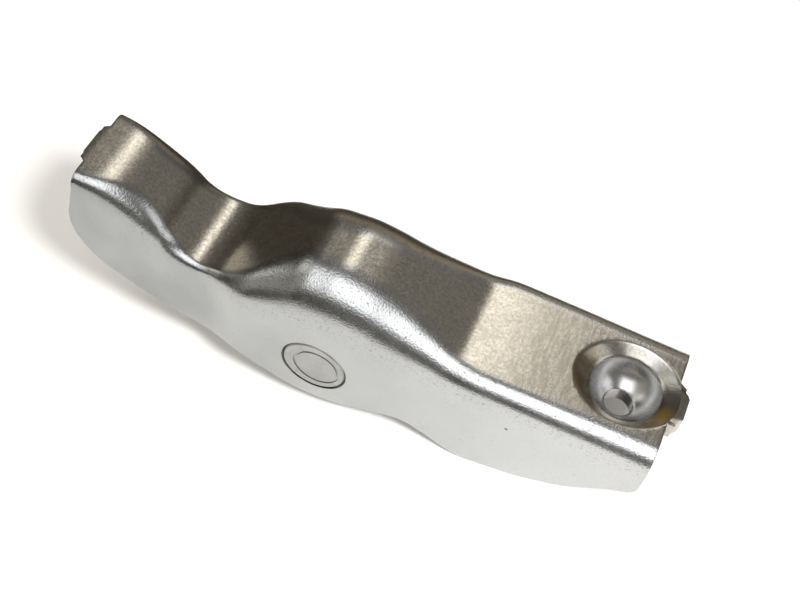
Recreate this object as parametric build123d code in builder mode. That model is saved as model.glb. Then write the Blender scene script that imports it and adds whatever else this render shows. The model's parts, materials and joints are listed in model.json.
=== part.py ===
from build123d import *
from math import asin, atan2, cos, degrees, hypot, pi, radians, sin, sqrt
import os

# Roller finger rocker arm: one U-shaped steel pressing with a valve pad at one
# end, a ball socket at the other and a needle-bearing roller between its walls.
#
# The arm is drawn with its flat web level: X runs along it from the valve end
# to the socket end, Y across it and Z out of the web, and the socket's axis is
# at X = 0. It is leaned over at the end into the pose in which it lies on a
# table, with the centre of the socket's ball as the origin.

# ---------------------------------------------------------------------------
# Driving dimensions, in millimetres
# ---------------------------------------------------------------------------

# Sheet and bends
sheet = 2.6                 # thickness of the pressed sheet
inner_bend = 0.6            # tightest inside bend that the punch leaves

# Roller, needles and axle
roller_radius = 8.5
roller_width = 9.6
roller_edge = 0.5           # chamfer on the roller's outer edges
bore_chamfer = 0.3          # lead-in at the roller's bore
axle_radius = 3.73
axle_edge = 0.15            # chamfer on the axle's ends
needle_radius = 0.8
needle_count = 17
needle_end = 0.2            # chamfer on the needles' ends
needle_gap = 0.03           # running gap on each side of the needles
needle_short = 0.3          # by how much the needles are shorter than the roller
roller_side_gap = 0.32      # between the roller and each wall
roller_headroom = 1.66      # between the roller and the web over it
press_interference = 0.01   # of the axle in its wall holes, on the radius
hole_chamfer = 0.22         # round the axle on the walls' outsides
stake_radius = 2.78         # ring that the staking punch leaves in the axle
stake_width = 0.3
stake_depth = 0.12
stake_offset = 0.3          # how far off centre the punch struck

# Where the axle lies from the socket's axis and below the flat web
axle_reach = 32.2
axle_drop = 9.66

# Ball socket with its oil hole
ball_radius = 4.0           # head of the lash adjuster that carries the arm
ball_gap = 0.05
ball_depth = 0.15           # ball centre below the web's flat face
cup_wall = 1.75             # steel round the cup under the web
neck_turn = radians(40)     # how far up its side the dome runs into its neck
neck_seat = 0.7             # depth in the web where the neck ends, of the sheet
funnel_depth = 0.9
funnel_long = 6.0           # half length of the funnel's mouth
funnel_wide = 5.15          # half width of the funnel's mouth
funnel_over = 0.3           # how far the funnel's tool stands above the web
oil_radius = 1.62

# Web profile: corners before rounding, from the valve pad to the flat web
nose_reach = 62.95          # sheared edge at the valve end
pad_reach = 55.85
pad_rise = 2.45
pad_lean = 0.05             # rise per length of the pad's outer part
pad_radius = 9.6
valley_reach = 48.95
valley_drop = 5.9
valley_radius = 7.0
bulge_lead = 3.6            # bulge's corner beyond the axle
bulge_radius = 4.8
bulge_peak = 0.17           # of its corner over the crown that the radius leaves
shoulder_trail = 4.4        # shoulder's corner short of the axle
shoulder_fall = 0.4         # from the bulge's corner to the shoulder's
shoulder_radius = 26.0
foot_reach = 17.5
foot_radius = 3.0
tail_reach = 5.13           # sheared edge at the socket end

# Widths over the walls, and where they change
nose_width = 11.3
tail_flare = 0.33           # by which each wall stands wider at the socket
jog_start = 47.0            # walls start to spread for the roller
jog_end = 40.7
flare_start = 20.0          # walls spread a little more for the socket
flare_end = 14.0

# Outside bend radius between web and walls
nose_bend = 0.9
pad_bend = 2.85
valley_bend = 0.9
bulge_bend = 5.9
shoulder_bend = 5.5
web_bend = 1.85
tail_bend = 2.5

# Carrier tabs, where the blank was cropped from its strip
nose_tab_length = 0.7
nose_tab_width = 4.2
tail_tab_length = 1.45
tail_tab_width = 4.9
tab_taper = 0.35            # each side of a tab, from root to tip
tab_corner = 0.5

# Lower edge of the walls
lip_radius = 3.0
chin_reach = 64.1
chin_drop = 5.9
chin_radius = 4.0
jaw_reach = 60.7
jaw_drop = 10.4
jaw_radius = 6.0
throat_reach = 53.0
throat_drop = 13.5
throat_radius = 20.0
spur_reach = 45.9
spur_drop = 14.95
spur_radius = 2.5
notch_reach = 41.9
notch_drop = 13.4
notch_radius = 2.5
eye_depth = 6.8             # walls' corner below the axle
eye_radius = 14.0
saddle_reach = 21.4
saddle_drop = 12.65
saddle_radius = 5.0
keel_reach = 13.9
keel_drop = 14.7
keel_radius = 6.0
heel_reach = 7.2
heel_drop = 13.55
heel_radius = 10.0
rake_reach = 1.2
rake_drop = 10.9
rake_radius = 8.0
step_past = 1.75            # small step past the socket's axis
step_drop = 8.5
step_radius = 1.5
tail_drop = 6.75
tail_radius = 2.2

# Sections of the pressing, and how far its raw form runs past the cut edges
stations = 28
overrun = 3.0
raw_depth = 24.0

# ---------------------------------------------------------------------------
# What follows from them
# ---------------------------------------------------------------------------

bore_radius = axle_radius + 2 * needle_radius + 2 * needle_gap
needle_pitch = axle_radius + needle_radius + needle_gap
hole_radius = axle_radius - press_interference
bulge_rise = roller_radius + roller_headroom + sheet - axle_drop + bulge_peak
bay_width = roller_width + 2 * roller_side_gap + 2 * sheet
tail_width = bay_width + 2 * tail_flare
cup_radius = ball_radius + ball_gap
dome_radius = cup_radius + cup_wall

widths = [
    (-jog_start, nose_width / 2),
    (-jog_end, bay_width / 2),
    (-flare_start, bay_width / 2),
    (-flare_end, tail_width / 2),
]
bends = [
    (-nose_reach, nose_bend),
    (-pad_reach, pad_bend),
    (-jog_start, valley_bend),
    (-axle_reach - bulge_lead, bulge_bend),
    (-axle_reach + shoulder_trail, shoulder_bend),
    (-flare_end, web_bend),
    (tail_reach, tail_bend),
]


def blend(place, stops):
    """Size at a place, easing from each (place, size) stop to the next."""
    before, size_before = stops[0]
    for after, size_after in stops:
        if place <= after:
            span = max(after - before, 1e-6)
            share = min(max((place - before) / span, 0), 1)
            return size_before + (size_after - size_before) * share**2 * (3 - 2 * share)
        before, size_before = after, size_after
    return size_before


# ---------------------------------------------------------------------------
# Arm body: the pressing
# ---------------------------------------------------------------------------

# Middle line of the web's outer face, seen from the side
with BuildLine(Plane.XZ) as crown:
    FilletPolyline(
        (-nose_reach - overrun, pad_rise + pad_lean * (nose_reach + overrun - pad_reach)),
        (-pad_reach, pad_rise),
        (-valley_reach, -valley_drop),
        (-axle_reach - bulge_lead, bulge_rise),
        (-axle_reach + shoulder_trail, bulge_rise - shoulder_fall),
        (-foot_reach, 0),
        (tail_reach + overrun, 0),
        radius=[pad_radius, valley_radius, bulge_radius, shoulder_radius, foot_radius],
    )
web_line = crown.wire()

# Outline of the walls and ends, seen from the side
wall_corners = [
    (-nose_reach, raw_depth / 4, 0),
    (-nose_reach, pad_rise - sheet / 2, lip_radius),
    (-chin_reach, -chin_drop, chin_radius),
    (-jaw_reach, -jaw_drop, jaw_radius),
    (-throat_reach, -throat_drop, throat_radius),
    (-spur_reach, -spur_drop, spur_radius),
    (-notch_reach, -notch_drop, notch_radius),
    (-axle_reach, -axle_drop - eye_depth, eye_radius),
    (-saddle_reach, -saddle_drop, saddle_radius),
    (-keel_reach, -keel_drop, keel_radius),
    (-heel_reach, -heel_drop, heel_radius),
    (-rake_reach, -rake_drop, rake_radius),
    (step_past, -step_drop, step_radius),
    (tail_reach, -tail_drop, tail_radius),
    (tail_reach, raw_depth / 4, 0),
]

# Everything inside the sheared edges, with the two carrier tabs
with BuildPart() as blank:
    with BuildSketch(Plane.XZ):
        with BuildLine():
            edge = FilletPolyline(
                *[(x, z) for x, z, radius in wall_corners],
                radius=[radius for x, z, radius in wall_corners[1:-1]],
            )
            Line(edge @ 1, edge @ 0)
        make_face()
    extrude(amount=tail_width, both=True)
    with BuildSketch(Plane.XY.offset(-sheet)) as tail_tab:
        with Locations((tail_reach, 0)):
            Trapezoid(
                tail_tab_width + 2 * tab_taper,
                2 * tail_tab_length,
                degrees(atan2(2 * tail_tab_length, tab_taper)),
                rotation=-90,
            )
        fillet(tail_tab.vertices().group_by(Axis.X)[-1], tab_corner)
    extrude(amount=2 * sheet)
    with BuildSketch(Plane.XY.offset(pad_rise - sheet)) as nose_tab:
        with Locations((-nose_reach, 0)):
            Trapezoid(
                nose_tab_width + 2 * tab_taper,
                2 * nose_tab_length,
                degrees(atan2(2 * nose_tab_length, tab_taper)),
                rotation=90,
            )
        fillet(nose_tab.vertices().group_by(Axis.X)[0], nose_tab_length / 2)
    extrude(amount=2 * sheet)

# Room that the socket takes: cup, funnel mouth and oil hole
with BuildPart() as socket:
    mouth_radius = sqrt(cup_radius**2 - (funnel_depth - ball_depth) ** 2)
    spread = (funnel_depth + funnel_over) / funnel_depth
    with BuildSketch(Plane.XY.offset(-funnel_depth)):
        Circle(mouth_radius)
    with BuildSketch(Plane.XY.offset(funnel_over)):
        Ellipse(
            mouth_radius + (funnel_long - mouth_radius) * spread,
            mouth_radius + (funnel_wide - mouth_radius) * spread,
        )
    loft()
    with Locations((0, 0, -ball_depth)):
        Sphere(cup_radius)
        Cylinder(oil_radius, 2 * dome_radius, align=(Align.CENTER, Align.CENTER, Align.MAX))

with BuildPart() as arm_body:
    # Outside of the U, lofted through cross-sections along the web
    for station in range(stations + 1):
        top = web_line @ (station / stations)
        with BuildSketch(Plane((top.X, 0, top.Z), (0, 1, 0), (1, 0, 0))) as outside:
            Rectangle(2 * blend(top.X, widths), raw_depth, align=(Align.CENTER, Align.MAX))
            fillet(outside.vertices().group_by(Axis.Y)[-1], blend(top.X, bends))
    loft()
    # Sheared edges
    add(blank.part, mode=Mode.INTERSECT)
    # Inside of the U, one sheet thickness in
    for station in range(stations + 1):
        top = web_line @ (station / stations)
        along = web_line % (station / stations)
        under = top + Vector(along.Z, 0, -along.X) * sheet
        with BuildSketch(Plane((under.X, 0, under.Z), (0, 1, 0), (1, 0, 0))) as inside:
            Rectangle(
                2 * (blend(top.X, widths) - sheet),
                raw_depth + overrun,
                align=(Align.CENTER, Align.MAX),
            )
            fillet(
                inside.vertices().group_by(Axis.Y)[-1],
                max(blend(top.X, bends) - sheet, inner_bend),
            )
    loft(mode=Mode.SUBTRACT)
    # Dome that the cup pushes out under the web, on a tapered neck
    with BuildSketch(Plane.XZ):
        with BuildLine():
            base = Vector(0, -ball_depth - dome_radius)
            middle = Vector(0, -ball_depth)
            flank = middle + Vector(cos(neck_turn), -sin(neck_turn)) * dome_radius
            rise = (-neck_seat * sheet - flank.Y) / cos(neck_turn)
            root = flank + Vector(sin(neck_turn), cos(neck_turn)) * rise
            belly = RadiusArc(base, flank, -dome_radius)
            Polyline(belly @ 1, root, (0, root.Y), base)
        make_face()
    revolve(axis=Axis.Z)
    # Socket, sunk into the web and the dome
    add(socket.part, mode=Mode.SUBTRACT)
    # Axle holes through both walls, chamfered outside
    with Locations(Location((-axle_reach, 0, -axle_drop), (90, 0, 0))):
        Cylinder(hole_radius, 2 * bay_width, mode=Mode.SUBTRACT)
    for turn in (90, -90):
        mouth = Location((-axle_reach, 0, -axle_drop), (turn, 0, 0))
        with Locations(mouth * Location((0, 0, bay_width / 2))):
            Cone(
                hole_radius,
                hole_radius + 2 * hole_chamfer,
                2 * hole_chamfer,
                mode=Mode.SUBTRACT,
            )

# ---------------------------------------------------------------------------
# Axle: a plain pin, flush with the walls and staked at both ends
# ---------------------------------------------------------------------------

with BuildPart() as axle:
    with Locations(Location((-axle_reach, 0, -axle_drop), (90, 0, 0))):
        Cylinder(axle_radius, bay_width)
    chamfer(axle.edges().filter_by(GeomType.CIRCLE), axle_edge)
    # Rings left by the staking punches
    for end in (Plane.XZ.offset(bay_width / 2), Plane.XZ.offset(-bay_width / 2)):
        with BuildSketch(end):
            with Locations((-axle_reach + stake_offset, -axle_drop)):
                Circle(stake_radius)
                Circle(stake_radius - stake_width, mode=Mode.SUBTRACT)
        extrude(amount=stake_depth, both=True, mode=Mode.SUBTRACT)

# ---------------------------------------------------------------------------
# Roller: a hardened ring that runs on the needles
# ---------------------------------------------------------------------------

with BuildPart() as roller:
    with Locations(Location((-axle_reach, 0, -axle_drop), (90, 0, 0))):
        Cylinder(roller_radius, roller_width)
    chamfer(roller.edges().filter_by(GeomType.CIRCLE), roller_edge)
    with Locations(Location((-axle_reach, 0, -axle_drop), (90, 0, 0))):
        Cylinder(bore_radius, roller_width, mode=Mode.SUBTRACT)
    bore_edges = roller.edges().filter_by(GeomType.CIRCLE)
    chamfer(
        bore_edges.filter_by(lambda edge: abs(edge.radius - bore_radius) < 0.001),
        bore_chamfer,
    )

# ---------------------------------------------------------------------------
# Needles: a full set, side by side round the axle, with no cage
# ---------------------------------------------------------------------------

needles = []
for count in range(needle_count):
    around = 2 * pi * count / needle_count
    centre = (
        -axle_reach + needle_pitch * cos(around),
        0,
        -axle_drop + needle_pitch * sin(around),
    )
    with BuildPart() as needle:
        with Locations(Location(centre, (90, 0, 0))):
            Cylinder(needle_radius, roller_width - needle_short)
        chamfer(needle.edges().filter_by(GeomType.CIRCLE), needle_end)
    needle.part.label = f"needle_{count + 1:02d}"
    needles.append(needle.part)

# ---------------------------------------------------------------------------
# How it lies: on the roller and on the heels of the walls, valve end raised
# ---------------------------------------------------------------------------


def arc_centre(before, corner, after, radius):
    """Centre of the arc that rounds a corner between its two neighbours."""
    back = Vector(before[0] - corner[0], before[1] - corner[1]).normalized()
    on = Vector(after[0] - corner[0], after[1] - corner[1]).normalized()
    half_angle = back.get_angle(on) / 2 * pi / 180
    return Vector(*corner[:2]) + (back + on).normalized() * (radius / sin(half_angle))


heel = next(i for i, corner in enumerate(wall_corners) if corner[2] == heel_radius)
heel_centre = arc_centre(*wall_corners[heel - 1 : heel + 2], heel_radius)
run = heel_centre.X + axle_reach
climb = heel_centre.Y + axle_drop
lean = atan2(climb, run) + asin((roller_radius - heel_radius) / hypot(run, climb))

# Centre of the socket's ball at the origin, table level under roller and heels
rest_pose = Location((0, 0, 0), (0, degrees(lean), 0)) * Location((0, 0, ball_depth))

# ---------------------------------------------------------------------------
# Finished pieces
# ---------------------------------------------------------------------------

os.makedirs("parts", exist_ok=True)

arm_body.part.move(rest_pose)
arm_body.part.label = "arm_body"
export_step(arm_body.part, "parts/arm_body.step")

axle.part.move(rest_pose)
axle.part.label = "axle"
export_step(axle.part, "parts/axle.step")

roller.part.move(rest_pose)
roller.part.label = "roller"
export_step(roller.part, "parts/roller.step")

for part in needles:
    part.move(rest_pose)
    export_step(part, f"parts/{part.label}.step")

print("lean in degrees:", round(degrees(lean), 3))
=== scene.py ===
import bpy
import json
from math import asin, atan2, cos, pi, radians, sin, sqrt, tan
from mathutils import Matrix, Vector


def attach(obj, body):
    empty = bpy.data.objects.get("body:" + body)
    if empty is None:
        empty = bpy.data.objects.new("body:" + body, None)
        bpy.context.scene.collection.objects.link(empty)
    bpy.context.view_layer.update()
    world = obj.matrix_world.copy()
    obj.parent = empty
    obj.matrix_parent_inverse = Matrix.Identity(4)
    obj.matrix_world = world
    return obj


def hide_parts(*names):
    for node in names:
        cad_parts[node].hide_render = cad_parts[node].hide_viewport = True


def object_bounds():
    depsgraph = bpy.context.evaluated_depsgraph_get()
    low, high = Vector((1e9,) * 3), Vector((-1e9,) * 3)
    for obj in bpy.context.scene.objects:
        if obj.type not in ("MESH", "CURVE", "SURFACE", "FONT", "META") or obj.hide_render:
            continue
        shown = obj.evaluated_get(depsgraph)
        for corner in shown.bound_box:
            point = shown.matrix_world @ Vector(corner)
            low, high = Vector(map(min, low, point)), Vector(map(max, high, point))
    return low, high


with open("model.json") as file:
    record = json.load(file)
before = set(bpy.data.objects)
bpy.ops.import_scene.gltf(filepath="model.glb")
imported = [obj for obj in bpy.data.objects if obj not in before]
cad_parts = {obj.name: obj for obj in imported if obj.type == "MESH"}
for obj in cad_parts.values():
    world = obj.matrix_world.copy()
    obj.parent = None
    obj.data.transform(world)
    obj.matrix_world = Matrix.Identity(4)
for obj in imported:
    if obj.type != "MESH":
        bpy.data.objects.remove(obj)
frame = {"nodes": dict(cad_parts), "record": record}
cad_low, cad_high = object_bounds()
nodes = frame["nodes"]
mounts = {mount["name"]: mount for mount in frame["record"]["mounts"]}
mm = 0.001

# ---------------------------------------------------------------------------
# Camera: a hand-held view from the front, looking down at the lying arm, with
# the socket end to the right.
# ---------------------------------------------------------------------------

camera_data = bpy.data.cameras.new("camera")
camera_data.lens = 55.58
camera_data.sensor_width = 36
camera_data.clip_start = 0.005
camera = bpy.data.objects.new("camera", camera_data)
camera.location = (11.347 * mm, -75.463 * mm, 107.995 * mm)
camera.rotation_euler = (radians(38.571), radians(2.754), radians(22.815))
bpy.context.scene.collection.objects.link(camera)
bpy.context.scene.camera = camera

# ---------------------------------------------------------------------------
# Arm body: a U-shaped pressing in case-hardened sheet steel. A punch forms the
# pad, the valley, the bulge and the socket; the walls and bends are tumbled to
# a satin grey, and the web is ground, so it is darker and warmer.
# ---------------------------------------------------------------------------

# The arm is drawn with its web level and then leaned as the CAD part lies
socket_axis = mounts["ball_socket"]["axis"]
lean = atan2(socket_axis[0], socket_axis[2])
ball_depth = 0.15
rest_pose = (
    Matrix.Scale(mm, 4)
    @ Matrix.Rotation(lean, 4, "Y")
    @ Matrix.Translation((0, 0, ball_depth))
)

# Sizes of the sheet, its halves across and its reaches along, in millimetres
sheet = 2.6
inner_bend = 0.6
roller_radius = 8.5
roller_headroom = 1.66
bay_half = 7.72
tail_half = 8.05
nose_half = 5.65
axle_reach = 32.2
axle_drop = 9.66
nose_reach = 62.95
tail_reach = 5.13
bulge_lead = 3.6
shoulder_trail = 4.4
bulge_peak = 0.17
bulge_rise = roller_radius + roller_headroom + sheet - axle_drop + bulge_peak

# Corners of the web's profile and of the walls' lower edge, with their radii
web_corners = [
    (-nose_reach, 2.8, 0),
    (-55.85, 2.45, 11.3),
    (-48.95, -5.9, 6.2),
    (-axle_reach - bulge_lead, bulge_rise - 0.29, 4.0),
    (-axle_reach + 0.6, bulge_rise + 0.03, 9.0),
    (-axle_reach + shoulder_trail, bulge_rise - 0.55, 22.0),
    (-17.5, 0, 6.0),
    (tail_reach, 0, 0),
]
lower_corners = [
    (-nose_reach, 2.8, 0),
    (-nose_reach, 1.15, 3.0),
    (-64.1, -5.9, 7.0),
    (-60.7, -10.4, 9.0),
    (-53.0, -13.5, 20.0),
    (-45.9, -14.95, 2.5),
    (-41.9, -13.4, 2.5),
    (-axle_reach, -axle_drop - 6.8, 14.0),
    (-21.4, -12.65, 5.0),
    (-13.9, -14.7, 6.0),
    (-7.2, -13.55, 10.0),
    (-1.2, -10.9, 8.0),
    (1.75, -8.5, 1.5),
    (tail_reach, -6.75, 2.2),
    (tail_reach, 0, 0),
]
half_widths = [
    (-47.0, nose_half),
    (-40.7, bay_half),
    (-20.0, bay_half),
    (-14.0, tail_half),
]
bend_radii = [
    (-nose_reach, 1.4),
    (-55.85, 2.9),
    (-47.0, 0.9),
    (-axle_reach - bulge_lead, 5.9),
    (-axle_reach + shoulder_trail, 5.5),
    (-14.0, 2.4),
    (tail_reach, 2.75),
]


def held(value):
    """A share, kept between nothing and all."""
    return min(max(value, 0), 1)


def eased(place, stops):
    """Size at a place, easing from each stop to the next."""
    before, size_before = stops[0]
    for after, size_after in stops:
        if place <= after:
            share = held((place - before) / max(after - before, 1e-6))
            return size_before + (size_after - size_before) * share**2 * (3 - 2 * share)
        before, size_before = after, size_after
    return size_before


def rounded(corners, step=0.05):
    """Closely spaced points along corners that are rounded to their radii."""
    points = [Vector(corners[0][:2])]
    for before, corner, after in zip(corners, corners[1:], corners[2:]):
        at = Vector(corner[:2])
        back = (Vector(before[:2]) - at).normalized()
        on = (Vector(after[:2]) - at).normalized()
        half_angle = back.angle(on) / 2
        reach = corner[2] / tan(half_angle)
        centre = at + (back + on).normalized() * (corner[2] / sin(half_angle))
        start = at + back * reach - centre
        sweep = pi - 2 * half_angle
        turn = sweep if start.cross(on) > 0 else -sweep
        pieces = max(int(abs(sweep) * corner[2] / step), 2)
        for piece in range(pieces + 1):
            angle = turn * piece / pieces
            points.append(centre + Matrix.Rotation(angle, 2) @ start)
    points.append(Vector(corners[-1][:2]))
    return points


def along(points, shares):
    """Points at the given shares of a path's length."""
    lengths = [0.0]
    for one, other in zip(points, points[1:]):
        lengths.append(lengths[-1] + (other - one).length)
    found, leg = [], 0
    for share in shares:
        target = share * lengths[-1]
        while leg < len(lengths) - 2 and lengths[leg + 1] < target:
            leg += 1
        span = max(lengths[leg + 1] - lengths[leg], 1e-9)
        found.append(points[leg].lerp(points[leg + 1], (target - lengths[leg]) / span))
    return found


# Cross-sections along the arm, and rows of points up a wall, round a bend and
# over the web
stations = 250
wall_rows = 26
bend_rows = 12
web_rows = 25
web_path = rounded(web_corners)
edge_path = rounded(lower_corners)
shares = [station / (stations - 1) for station in range(stations)]
crown_line = along(web_path, shares)

# The lower edge starts at the chin, its point furthest out, and ends where the
# tail's corner meets the sheared end
corner_drop = 5.4
chin = min(range(len(edge_path)), key=lambda i: edge_path[i].x)
tail_corner = max(i for i, point in enumerate(edge_path) if point.y < -corner_drop)
nose_edge = edge_path[: chin + 1]
lower_edge = edge_path[chin : tail_corner + 1]
edge_lengths = [0.0]
for one, other in zip(lower_edge, lower_edge[1:]):
    edge_lengths.append(edge_lengths[-1] + (other - one).length)


def edge_at_x(x):
    """Length along the lower edge where it passes a given place."""
    for index, point in enumerate(lower_edge):
        if point.x >= x:
            last = lower_edge[max(index - 1, 0)]
            share = (x - last.x) / max(point.x - last.x, 1e-9)
            start = edge_lengths[max(index - 1, 0)]
            return start + (edge_lengths[index] - start) * held(share)
    return edge_lengths[-1]


def edge_at_length(length):
    return along(lower_edge, [length / edge_lengths[-1]])[0]


# Near both ends the lower edge is shared out evenly over this length of web
blend_in = 8.0
nose_length = edge_at_x(-nose_reach + blend_in)
tail_length = edge_at_x(tail_reach - blend_in)


def lower_point(top):
    """Point of the lower edge that belongs to a point of the web's line."""
    if top.x < -nose_reach + blend_in:
        return edge_at_length(nose_length * (top.x + nose_reach) / blend_in)
    if top.x > tail_reach - blend_in:
        left = edge_lengths[-1] - tail_length
        return edge_at_length(edge_lengths[-1] - left * (tail_reach - top.x) / blend_in)
    return edge_at_length(edge_at_x(top.x))


feet = [lower_point(top) for top in crown_line]


def nose_bow(z, station):
    """How far the end edge bows out of the straight line at the valve end."""
    fade = max(1 - (crown_line[station].x + nose_reach) / blend_in, 0)
    for upper, lower in zip(nose_edge, nose_edge[1:]):
        if fade and lower.y <= z <= upper.y:
            share = (upper.y - z) / max(upper.y - lower.y, 1e-9)
            bowed = upper.x + (lower.x - upper.x) * share
            top, foot = crown_line[0], feet[0]
            straight = top.x + (foot.x - top.x) * (top.y - z) / (top.y - foot.y)
            return (bowed - straight) * fade**2
    return 0


def section(station, inset):
    """One cross-section of the U, from the near lower edge over to the far one."""
    top, foot = crown_line[station], feet[station]
    ahead = crown_line[min(station + 1, stations - 1)] - crown_line[max(station - 1, 0)]
    drop = inset / max(ahead.normalized().x, 0.3)
    under = Vector((top.x, top.y - drop))
    bend = max(eased(top.x, bend_radii) - inset, inner_bend if inset else 0)
    wall_height = under.y - bend - foot.y
    half = [(0, foot.y + wall_height * (row / wall_rows)) for row in range(wall_rows)]
    for row in range(bend_rows):
        angle = row / bend_rows * pi / 2
        half.append((bend * (1 - cos(angle)), under.y - bend + bend * sin(angle)))
    points = []
    for inward, z in half:
        x = top.x + (foot.x - top.x) * (top.y - z) / (top.y - foot.y)
        x += nose_bow(z, station)
        points.append((x, -(eased(x, half_widths) - inset - inward), z))
    flat = eased(top.x, half_widths) - inset - bend
    far = [(x, -y, z) for x, y, z in reversed(points)]
    for row in range(web_rows + 1):
        points.append((top.x, flat * (2 * row / web_rows - 1), under.y))
    return points + far


def deselect_all():
    for item in bpy.context.selected_objects:
        item.select_set(False)


def activate(piece):
    deselect_all()
    piece.select_set(True)
    bpy.context.view_layer.objects.active = piece


def laid_grid(name, inset):
    """A grid bent over the sections of the U: one face of the sheet."""
    sections = [section(station, inset) for station in range(stations)]
    deselect_all()
    bpy.ops.mesh.primitive_grid_add(
        x_subdivisions=stations - 1, y_subdivisions=len(sections[0]) - 1, size=2
    )
    grid = bpy.context.object
    grid.name = name
    for vertex in grid.data.vertices:
        station = round((vertex.co.x + 1) / 2 * (stations - 1))
        row = round((vertex.co.y + 1) / 2 * (len(sections[0]) - 1))
        vertex.co = Vector(sections[station][row])
    return grid


def apply_modifier(piece, kind, **settings):
    activate(piece)
    modifier = piece.modifiers.new(kind.title(), kind)
    for key, value in settings.items():
        setattr(modifier, key, value)
    bpy.ops.object.modifier_apply(modifier=modifier.name)


def pick(piece, kind, test):
    """Selects a piece's faces or edges by their place, in edit mode."""
    bpy.ops.object.mode_set(mode="OBJECT")
    for group in (piece.data.vertices, piece.data.edges, piece.data.polygons):
        group.foreach_set("select", [False] * len(group))
    bpy.context.tool_settings.mesh_select_mode = (False, kind == "EDGE", kind == "FACE")
    if kind == "FACE":
        for face in piece.data.polygons:
            face.select = test(face)
    else:
        ends = piece.data.vertices
        for edge in piece.data.edges:
            edge.select = test([ends[i].co for i in edge.vertices])
    bpy.ops.object.mode_set(mode="EDIT")


# Outer and inner faces of the sheet, bridged along their rims
outside = laid_grid("pressing", 0)
inside = laid_grid("inside", sheet)
activate(outside)
inside.select_set(True)
bpy.ops.object.join()
pressing = bpy.context.object
bpy.ops.object.mode_set(mode="EDIT")
bpy.ops.mesh.select_mode(type="EDGE")
bpy.ops.mesh.select_all(action="DESELECT")
bpy.ops.mesh.select_non_manifold()
bpy.ops.mesh.bridge_edge_loops()
bpy.ops.mesh.select_all(action="SELECT")
bpy.ops.mesh.normals_make_consistent(inside=False)

# Carrier tabs: stubs left in the middle of both ends
tail_tab = 1.45
tail_tab_half = 2.6
nose_tab = 0.7
nose_tab_half = 2.2
pick(
    pressing,
    "FACE",
    lambda face: face.normal.x > 0.9
    and face.center.x > tail_reach - 0.05
    and abs(face.center.y) < tail_tab_half,
)
bpy.ops.mesh.extrude_region_move(TRANSFORM_OT_translate={"value": (tail_tab, 0, 0)})
bpy.ops.transform.resize(value=(1, 0.9, 1))

# Their torn tips fall back step by step towards the sides
for reach, back, drop in ((0, 0, -0.3), (1.3, 0.25, 0), (1.75, 0.35, -0.1)):
    pick(
        pressing,
        "EDGE",
        lambda ends: min(end.x for end in ends) > tail_reach + 0.6
        and min(abs(end.y) for end in ends) >= reach
        and abs(ends[0].z - ends[1].z) > 1,
    )
    bpy.ops.transform.translate(value=(-back, 0, drop))
pick(
    pressing,
    "FACE",
    lambda face: face.normal.x < -0.8
    and face.center.x < -nose_reach + 0.3
    and abs(face.center.y) < nose_tab_half
    and face.center.z > 0,
)
bpy.ops.mesh.extrude_region_move(TRANSFORM_OT_translate={"value": (-nose_tab, 0, 0)})
bpy.ops.transform.resize(value=(1, 0.85, 1))
for reach, back in ((1.0, 0.12), (1.5, 0.22)):
    pick(
        pressing,
        "EDGE",
        lambda ends: max(end.x for end in ends) < -nose_reach - 0.3
        and min(abs(end.y) for end in ends) >= reach
        and min(end.z for end in ends) > -0.5
        and abs(ends[0].z - ends[1].z) > 1,
    )
    bpy.ops.transform.translate(value=(back, 0, 0))
bpy.ops.mesh.select_all(action="DESELECT")

# Sheared edges, rounded by tumbling
tumbled_edge = 0.22
bpy.ops.object.mode_set(mode="OBJECT")
apply_modifier(
    pressing,
    "BEVEL",
    width=tumbled_edge,
    segments=3,
    limit_method="ANGLE",
    angle_limit=radians(50),
)


def turned(name, rings, sides=96):
    """A solid drawn up ring by ring: (place on its axis, radius in x, radius in y)."""
    deselect_all()
    height, in_x, in_y = rings[0]
    bpy.ops.mesh.primitive_circle_add(
        vertices=sides, radius=1, fill_type="NGON", location=(0, 0, height)
    )
    piece = bpy.context.object
    piece.name = name
    bpy.ops.object.transform_apply(location=True, rotation=True, scale=True)
    bpy.ops.object.mode_set(mode="EDIT")
    bpy.ops.mesh.select_all(action="SELECT")
    bpy.ops.transform.resize(value=(in_x, in_y, 1), center_override=(0, 0, height))
    for (low, was_x, was_y), (high, now_x, now_y) in zip(rings, rings[1:]):
        bpy.ops.mesh.extrude_region_move(
            TRANSFORM_OT_translate={"value": (0, 0, high - low)}
        )
        bpy.ops.transform.resize(
            value=(now_x / was_x, now_y / was_y, 1), center_override=(0, 0, high)
        )
    bpy.ops.mesh.select_all(action="SELECT")
    bpy.ops.mesh.normals_make_consistent(inside=False)
    bpy.ops.object.mode_set(mode="OBJECT")
    return piece


# Dome that the cup pushes out under the web
cup_radius = 4.05
dome_radius = 5.8
dome_neck = 6.0
dome_steps = 16
dome_start, dome_end = -88, -32
dome_rings = []
for ring in range(dome_steps + 1):
    angle = radians(dome_start + ring * (dome_end - dome_start) / dome_steps)
    across = dome_radius * cos(angle)
    dome_rings.append((-ball_depth + dome_radius * sin(angle), across, across))
for depth in (0.75, 0.6):
    dome_rings.append((-depth * sheet, dome_neck, dome_neck))
dome = turned("dome", dome_rings)
apply_modifier(pressing, "BOOLEAN", operation="UNION", object=dome, solver="MANIFOLD")
bpy.data.objects.remove(dome)

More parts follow.
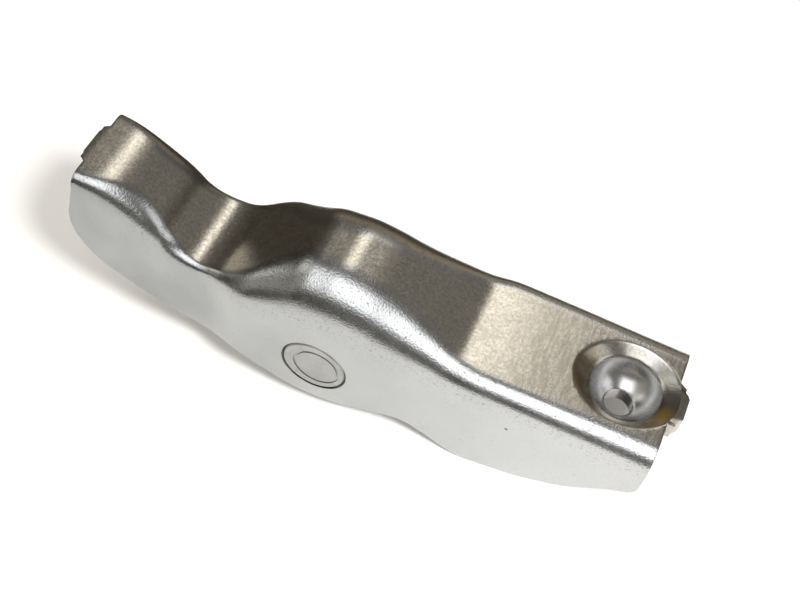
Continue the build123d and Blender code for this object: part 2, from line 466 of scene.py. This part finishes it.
# Socket: oil hole, cup and funnel mouth, cut in one stroke
oil_radius = 1.62
mouth_radius = 3.98
funnel_depth = 0.9
funnel_length = 6.0
funnel_width = 5.15
under_web = -8
cup_steps = 13
hole_rim = -ball_depth - sqrt(cup_radius**2 - oil_radius**2)
cup_start = asin((hole_rim + 0.1 + ball_depth) / cup_radius)
cup_end = asin((-funnel_depth + ball_depth - 0.12) / cup_radius)
cup_rings = [(under_web, oil_radius, oil_radius)]
for rise, wider in ((-0.1, 0), (0.04, 0.12)):
    cup_rings.append((hole_rim + rise, oil_radius + wider, oil_radius + wider))
for ring in range(cup_steps + 1):
    angle = cup_start + (cup_end - cup_start) * ring / cup_steps
    across = cup_radius * cos(angle)
    cup_rings.append((-ball_depth + cup_radius * sin(angle), across, across))

# The funnel's wall widens from the cup's mouth and rolls over at the web
funnel_steps = (
    (0.06, -funnel_depth),
    (0.2, -0.78),
    (0.5, -0.48),
    (0.8, -0.18),
    (0.95, -0.03),
    (1.1, 0.02),
    (1.3, 0.06),
)
for share, height in funnel_steps:
    length = mouth_radius + (funnel_length - mouth_radius) * share
    width = mouth_radius + (funnel_width - mouth_radius) * share
    cup_rings.append((height, length, width))
socket = turned("socket", cup_rings)
apply_modifier(pressing, "BOOLEAN", operation="DIFFERENCE", object=socket, solver="MANIFOLD")
bpy.data.objects.remove(socket)

# Axle holes, chamfered outside
axle_radius = 3.73
hole_chamfer = 0.2
flare = axle_radius + 1.5
flare_half = 9.0
straight_half = bay_half - hole_chamfer
hole_rings = [
    (-flare_half, flare, flare),
    (-straight_half, axle_radius, axle_radius),
    (straight_half, axle_radius, axle_radius),
    (flare_half, flare, flare),
]
axle_centre = Vector((-axle_reach, 0, -axle_drop))
hole = turned("hole", hole_rings)
hole.data.transform(Matrix.Translation(axle_centre) @ Matrix.Rotation(pi / 2, 4, "X"))
apply_modifier(pressing, "BOOLEAN", operation="DIFFERENCE", object=hole, solver="MANIFOLD")
bpy.data.objects.remove(hole)

# How much of each point is ground web, tumbled bend, polished cup, the funnel's side painted
# in brown shade or the funnel's side painted with a highlight; each share fades out over a
# short way
web_fade = 0.7
bend_fade = 1.2
cup_fade = 0.5
funnel_fade = 0.08
rim_length = funnel_length + 0.2
rim_width = funnel_width + 0.25
finish_and_light_shares = ("ground", "rounding", "polish", "funnel", "bright_side")
for name in finish_and_light_shares:
    pressing.data.attributes.new(name, "FLOAT", "POINT")
ground, rounding, polish, funnel, bright_side = (
    pressing.data.attributes[name].data for name in finish_and_light_shares
)
for vertex in pressing.data.vertices:
    x, y, z = vertex.co
    bend = eased(x, bend_radii)
    flat = eased(x, half_widths) - bend
    crown_z = min(crown_line, key=lambda point: abs(point.x - x)).y
    near_flat = held((flat + web_fade / 2 - abs(y)) / web_fade)
    ground[vertex.index].value = near_flat
    down = held((z - crown_z + bend + bend_fade) / bend_fade)
    rounding[vertex.index].value = (1 - near_flat) * down
    from_ball = Vector((x, y, z + ball_depth)).length
    below_rim = held((-z - funnel_depth) / cup_fade)
    polish[vertex.index].value = below_rim if from_ball < cup_radius + 0.1 else 0
    from_middle = Vector((x / rim_length, y / rim_width)).length
    in_funnel = held((1.02 - from_middle) / funnel_fade)

    # Painted shade and highlight: the funnel's side towards the valve end and the near wall
    # is painted a mottled brown shade, the other side a lighter painted highlight
    shaded_side = held(0.55 - (0.6 * x + 0.6 * y) / 8)
    funnel[vertex.index].value = shaded_side * in_funnel
    bright_side[vertex.index].value = (1 - shaded_side) * in_funnel

smooth_below = 32
pressing.data.transform(rest_pose)
activate(pressing)
bpy.ops.object.shade_smooth_by_angle(angle=radians(smooth_below))


def material(name):
    made = bpy.data.materials.new(name)
    made.use_nodes = True
    made.node_tree.nodes.clear()
    return made, made.node_tree


def node(tree, kind, settings=(), **inputs):
    """A shader node with its settings and inputs; i0 is an input by its number."""
    added = tree.nodes.new(kind)
    for key, value in dict(settings).items():
        setattr(added, key, value)
    for key, value in inputs.items():
        numbered = key[0] == "i" and key[1:].isdigit()
        socket = added.inputs[int(key[1:]) if numbered else key.replace("_", " ")]
        if isinstance(value, bpy.types.NodeSocket):
            tree.links.new(value, socket)
        else:
            socket.default_value = value
    return added


def noise(tree, where, scale, detail=3.0, roughness=0.6):
    return node(
        tree,
        "ShaderNodeTexNoise",
        Vector=where,
        Scale=scale,
        Detail=detail,
        Roughness=roughness,
    ).outputs["Fac"]


def ranged(tree, value, low, high, to_low=0, to_high=1):
    return node(
        tree,
        "ShaderNodeMapRange",
        Value=value,
        From_Min=low,
        From_Max=high,
        To_Min=to_low,
        To_Max=to_high,
    ).outputs["Result"]


def times(tree, one, other):
    return node(
        tree, "ShaderNodeMath", {"operation": "MULTIPLY"}, i0=one, i1=other
    ).outputs[0]


def mixed(tree, share, one, other):
    return node(
        tree, "ShaderNodeMix", {"data_type": "RGBA"}, i0=share, i6=one, i7=other
    ).outputs[2]


def stretched(tree, scale, turn=(0, 0, 0)):
    where = node(tree, "ShaderNodeTexCoord").outputs["Object"]
    return node(
        tree, "ShaderNodeMapping", Vector=where, Scale=scale, Rotation=turn
    ).outputs["Vector"]


nick = 0.08


def how_near(tree, spot, axes, radius, soft):
    """One within a radius of a spot, give or take a nick, over the given axes."""
    where = stretched(tree, (1, 1, 1))
    flat = node(
        tree, "ShaderNodeVectorMath", {"operation": "MULTIPLY"}, i0=where, i1=axes
    ).outputs["Vector"]
    apart = node(
        tree,
        "ShaderNodeVectorMath",
        {"operation": "DISTANCE"},
        i0=flat,
        i1=[spot[axis] * axes[axis] for axis in range(3)],
    ).outputs["Value"]
    nicked = node(
        tree,
        "ShaderNodeMath",
        {"operation": "MULTIPLY_ADD"},
        i0=noise(tree, where, 700),
        i1=2 * nick * mm,
        i2=apart,
    ).outputs[0]
    reach = (radius + nick) * mm
    return ranged(tree, nicked, reach + soft * mm, reach)


def share_of(tree, name):
    return node(tree, "ShaderNodeAttribute", {"attribute_name": name}).outputs["Fac"]


def faded(tree, share, one, other):
    """A plain value that goes from one to the other."""
    return node(
        tree, "ShaderNodeMix", {"data_type": "FLOAT"}, i0=share, i2=one, i3=other
    ).outputs[0]


pressed_steel, tree = material("pressed_steel")
on_web, on_bend, in_cup = (
    share_of(tree, name) for name in ("ground", "rounding", "polish")
)
place = stretched(tree, (1, 1, 1))
tumble = noise(tree, place, 4600, 2, 0.6)
sparkle = noise(tree, place, 4800, 2, 0.6)
speckle = noise(tree, place, 3000, 4, 0.75)
mottle = noise(tree, place, 700, 3, 0.6)
cloud = noise(tree, place, 110, 2, 0.5)
grind = noise(tree, stretched(tree, (900, 5200, 900), (0, 0, radians(25))), 1, 2, 0.6)
along_arm = node(tree, "ShaderNodeSeparateXYZ", Vector=place).outputs["X"]

# Walls and bends: satin grey, with painted shade that darkens them towards the valve end,
# and dark pits
valve_end_painted_shade, socket_end_unshaded = (0.31, 0.32, 0.325, 1), (0.53, 0.54, 0.55, 1)
# painted shade: the wall colour goes from a darker tone at the valve end to a paler one at
# the socket end
toward_socket = ranged(tree, along_arm, -60 * mm, 0)
wall_colour = mixed(tree, toward_socket, valve_end_painted_shade, socket_end_unshaded)
clouds = ranged(tree, cloud, 0.35, 0.65, 0, 0.25)
wall_colour = mixed(tree, clouds, wall_colour, (0.62, 0.63, 0.64, 1))
pits = times(tree, ranged(tree, sparkle, 0.42, 0.3), faded(tree, on_bend, 0.2, 0.8))
wall_colour = mixed(tree, pits, wall_colour, (0.16, 0.16, 0.155, 1))

# Web: ground and warm, with duller streaks across it round the socket
dark_grain, light_grain = (0.44, 0.42, 0.385, 1), (0.66, 0.63, 0.57, 1)
web_colour = mixed(tree, ranged(tree, speckle, 0.35, 0.65), dark_grain, light_grain)
streaks = noise(tree, stretched(tree, (2600, 420, 2600)), 1, 3, 0.6)
round_socket = ranged(tree, along_arm, -13.5 * mm, -9.5 * mm)
dulled = times(tree, round_socket, ranged(tree, streaks, 0.4, 0.6, 0.35, 0.85))
web_colour = mixed(tree, dulled, web_colour, (0.36, 0.345, 0.31, 1))

# Socket: polished cup, and a funnel painted with a highlight on one side and a
# mottled brown shade on the other
shade_mottle = ranged(tree, noise(tree, place, 420, 3, 0.6), 0.4, 0.62, 0.25, 0.9)
funnel_painted_shade = times(tree, share_of(tree, "funnel"), shade_mottle)
highlight_mottle = ranged(tree, mottle, 0.35, 0.65, 0.35, 0.9)
funnel_painted_highlight = times(tree, share_of(tree, "bright_side"), highlight_mottle)
# painted highlight: the funnel's lit side is painted a lighter grey
web_colour = mixed(tree, funnel_painted_highlight, web_colour, (0.47, 0.475, 0.47, 1))
# painted shade: the funnel's other side is painted a mottled brown
web_colour = mixed(tree, funnel_painted_shade, web_colour, (0.27, 0.2, 0.12, 1))
cup_colour = mixed(
    tree, ranged(tree, cloud, 0.4, 0.6), (0.42, 0.42, 0.42, 1), (0.5, 0.5, 0.5, 1)
)
colour = mixed(tree, in_cup, mixed(tree, on_web, wall_colour, web_colour), cup_colour)

# Grime in the nicked seam round the axle, a pit near the socket, scuffs by the valve pad
# and a painted golden glint in the funnel
along_bore = (1, 0, 1)
all_round = (1, 1, 1)
pit_spot = rest_pose @ Vector((-9.9, -tail_half, -5.0))
scuff_spot = rest_pose @ Vector((-45.9, -5.8, -8.3))
glint_spot = rest_pose @ Vector((4.7, -1.4, -0.6))
seam = how_near(tree, rest_pose @ axle_centre, along_bore, 3.9, 0.1)
pit = how_near(tree, pit_spot, all_round, 0.1, 0.12)
scuffed = how_near(tree, scuff_spot, along_bore, 0.4, 2.4)
painted_glint = how_near(tree, glint_spot, all_round, 0.35, 0.9)
scratch = noise(tree, stretched(tree, (7000, 1, 260), (0, radians(12), 0)), 1, 1, 0.5)
scuffs = times(tree, scuffed, ranged(tree, scratch, 0.56, 0.66, 0, 0.6))
for share, tint in (
    (seam, (0.07, 0.067, 0.06, 1)),
    (pit, (0.08, 0.078, 0.07, 1)),
    (scuffs, (0.24, 0.235, 0.22, 1)),
    # painted glint: a bright gold spot in the funnel
    (painted_glint, (0.85, 0.62, 0.2, 1)),
):
    colour = mixed(tree, share, colour, tint)
wall_rough = ranged(tree, mottle, 0.3, 0.7, 0.2, 0.28)
web_rough = ranged(tree, mottle, 0.3, 0.7, 0.2, 0.27)
cup_rough = ranged(tree, mottle, 0.3, 0.7, 0.23, 0.3)
rough = faded(tree, in_cup, faded(tree, on_web, wall_rough, web_rough), cup_rough)
grain = faded(tree, on_web, tumble, faded(tree, 0.5, grind, speckle))
wall_grain, bend_grain, web_grain, cup_grain = 0.25, 0.42, 0.3, 0.08
depth = faded(tree, on_web, faded(tree, on_bend, wall_grain, bend_grain), web_grain)
depth = faded(tree, in_cup, depth, cup_grain)
bump = node(
    tree, "ShaderNodeBump", Strength=depth, Distance=0.07 * mm, Height=grain
).outputs["Normal"]
steel = node(
    tree,
    "ShaderNodeBsdfPrincipled",
    Base_Color=colour,
    Metallic=1.0,
    Roughness=rough,
    Normal=bump,
)
node(tree, "ShaderNodeOutputMaterial", Surface=steel.outputs["BSDF"])
pressing.data.materials.clear()
pressing.data.materials.append(pressed_steel)
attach(pressing, "arm")
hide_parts("arm_body")

# ---------------------------------------------------------------------------
# Axle, roller and needles: hardened bearing steel, turned and ground. The axle's
# staked ends stay matt; the roller runs on a full row of polished needles.
# ---------------------------------------------------------------------------


def turned_steel(name, dark, light, low_rough, high_rough):
    made, tree = material(name)
    where = stretched(tree, (1, 1, 1))
    spots = noise(tree, where, 1500, 3, 0.6)
    patches = ranged(tree, noise(tree, where, 300, 2, 0.5), 0.35, 0.65)
    bump = node(
        tree, "ShaderNodeBump", Strength=0.2, Distance=0.03 * mm, Height=spots
    ).outputs["Normal"]
    steel = node(
        tree,
        "ShaderNodeBsdfPrincipled",
        Base_Color=mixed(tree, patches, dark, light),
        Metallic=1.0,
        Roughness=ranged(tree, spots, 0.3, 0.7, low_rough, high_rough),
        Normal=bump,
    )
    node(tree, "ShaderNodeOutputMaterial", Surface=steel.outputs["BSDF"])
    return made


steels = {
    "axle": ((0.385, 0.39, 0.385, 1), (0.45, 0.455, 0.45, 1), 0.4, 0.55),
    "roller": ((0.60, 0.60, 0.60, 1), (0.68, 0.68, 0.68, 1), 0.16, 0.26),
    "needle": ((0.62, 0.62, 0.62, 1), (0.70, 0.70, 0.70, 1), 0.12, 0.2),
}
for kind, finish in steels.items():
    steel = turned_steel(kind + "_steel", *finish)
    for name, item in nodes.items():
        if name.startswith(kind):
            item.data.materials.clear()
            item.data.materials.append(steel)

# ---------------------------------------------------------------------------
# Table and light: a white table top, soft boxes over and behind it in a dim
# warm room, and one lamp from the upper right that throws the shadow.
# ---------------------------------------------------------------------------

deselect_all()
table_size = 0.6
table_back = 34 * mm
table_gap = 0.02 * mm
table_place = (0, table_back - table_size / 2, cad_low.z - table_gap)
bpy.ops.mesh.primitive_plane_add(size=table_size, location=table_place)
bpy.ops.object.transform_apply(location=True, rotation=False, scale=False)
table = bpy.context.object
table.name = "table"
seen_glow = 0.06
reflected_share = 0.25
white_top, tree = material("white_top")
path = node(tree, "ShaderNodeLightPath")
seen = node(
    tree,
    "ShaderNodeMath",
    {"operation": "MULTIPLY_ADD"},
    i0=path.outputs["Is Glossy Ray"],
    i1=reflected_share,
    i2=path.outputs["Is Camera Ray"],
).outputs[0]
paper = node(tree, "ShaderNodeBsdfDiffuse", Color=(0.83, 0.815, 0.785, 1))
glow_strength = ranged(tree, seen, 0, 1, 0, seen_glow)
glow = node(tree, "ShaderNodeEmission", Color=(1, 1, 1, 1), Strength=glow_strength)
both = node(tree, "ShaderNodeAddShader", i0=paper.outputs[0], i1=glow.outputs[0])
node(tree, "ShaderNodeOutputMaterial", Surface=both.outputs[0])
table.data.materials.append(white_top)

middle = (cad_low + cad_high) / 2
lamp_data = bpy.data.lights.new("lamp", "AREA")
lamp_data.shape = "DISK"
lamp_data.size = 0.075
lamp_data.energy = 2.15
lamp = bpy.data.objects.new("lamp", lamp_data)
lamp.location = middle + Vector((0.26, -0.16, 0.32))
lamp.rotation_euler = (middle - lamp.location).to_track_quat("-Z", "Y").to_euler()
lamp.visible_glossy = False
bpy.context.scene.collection.objects.link(lamp)

world = bpy.data.worlds.new("room")
bpy.context.scene.world = world
world.use_nodes = True
tree = world.node_tree
tree.nodes.clear()
toward = node(
    tree,
    "ShaderNodeSeparateXYZ",
    i0=node(tree, "ShaderNodeTexCoord").outputs["Generated"],
)


def between(axis, low, high, soft_low, soft_high):
    """One inside a band of directions, easing to nothing at its sides."""
    ramps = []
    for edge, soft, ends in ((low, soft_low, (0, 1)), (high, soft_high, (1, 0))):
        ramp = node(
            tree,
            "ShaderNodeMapRange",
            {"interpolation_type": "SMOOTHSTEP"},
            Value=toward.outputs[axis],
            From_Min=edge - soft,
            From_Max=edge + soft,
            To_Min=ends[0],
            To_Max=ends[1],
        )
        ramps.append(ramp.outputs["Result"])
    return times(tree, *ramps)


# The room is dim and warm, and a little lighter to the right
lighter = between("X", -0.3, 2.0, 0.45, 0.1)
upper_tint = mixed(tree, lighter, (0.06, 0.052, 0.04, 1), (0.2, 0.19, 0.17, 1))
upward = between("Z", 0.1, 2.0, 0.15, 0.1)
room_tint = mixed(tree, upward, (0.08, 0.07, 0.05, 1), upper_tint)
room = node(tree, "ShaderNodeBackground", Color=room_tint, Strength=1.0).outputs[0]

# Soft boxes, each with its colour, strength and bands of directions: from, to and
# how softly each side fades
everywhere = (-2.0, 2.0, 0.1, 0.1)
high_up = (0.3, 2.0, 0.2, 0.1)
front = (-0.74, -0.04, 0.06, 0.08)
soft_boxes = {
    "over": (
        (1, 1, 1, 1),
        2.7,
        (-0.22, 0.45, 0.14, 0.12),
        front,
        high_up,
    ),
    "behind": (
        (1, 0.95, 0.86, 1),
        2.35,
        (-0.03, 0.15, 0.05, 0.06),
        (0.35, 0.8, 0.08, 0.08),
        high_up,
    ),
    "left": (
        (1, 0.97, 0.86, 1),
        0.4,
        (-0.85, -0.25, 0.12, 0.12),
        front,
        (0.2, 2.0, 0.2, 0.1),
    ),
    "above": (
        (1, 0.98, 0.9, 1),
        1.2,
        (-0.78, -0.42, 0.08, 0.08),
        (-0.16, 0.16, 0.07, 0.07),
        high_up,
    ),
    "right": (
        (1, 1, 1, 1),
        1.5,
        (0.8, 2.0, 0.08, 0.1),
        (-0.25, 0.25, 0.1, 0.1),
        (0.1, 2.0, 0.1, 0.1),
    ),
    "window": (
        (1, 0.7, 0.38, 1),
        0.3,
        everywhere,
        (0.86, 2.0, 0.04, 0.1),
        (0.06, 0.34, 0.05, 0.05),
    ),
}
for colour, strength, *bands in soft_boxes.values():
    for axis, band in zip("XYZ", bands):
        strength = times(tree, between(axis, *band), strength)
    box = node(tree, "ShaderNodeBackground", Color=colour, Strength=strength)
    room = node(tree, "ShaderNodeAddShader", i0=room, i1=box.outputs[0]).outputs[0]

# Looked at straight, the room is plain white
white = node(tree, "ShaderNodeBackground", Color=(1, 1, 1, 1), Strength=1.0)
shown = node(
    tree,
    "ShaderNodeMixShader",
    i0=node(tree, "ShaderNodeLightPath").outputs["Is Camera Ray"],
    i1=room,
    i2=white.outputs[0],
)
node(tree, "ShaderNodeOutputWorld", Surface=shown.outputs[0])

bpy.context.scene.view_settings.view_transform = "Standard"
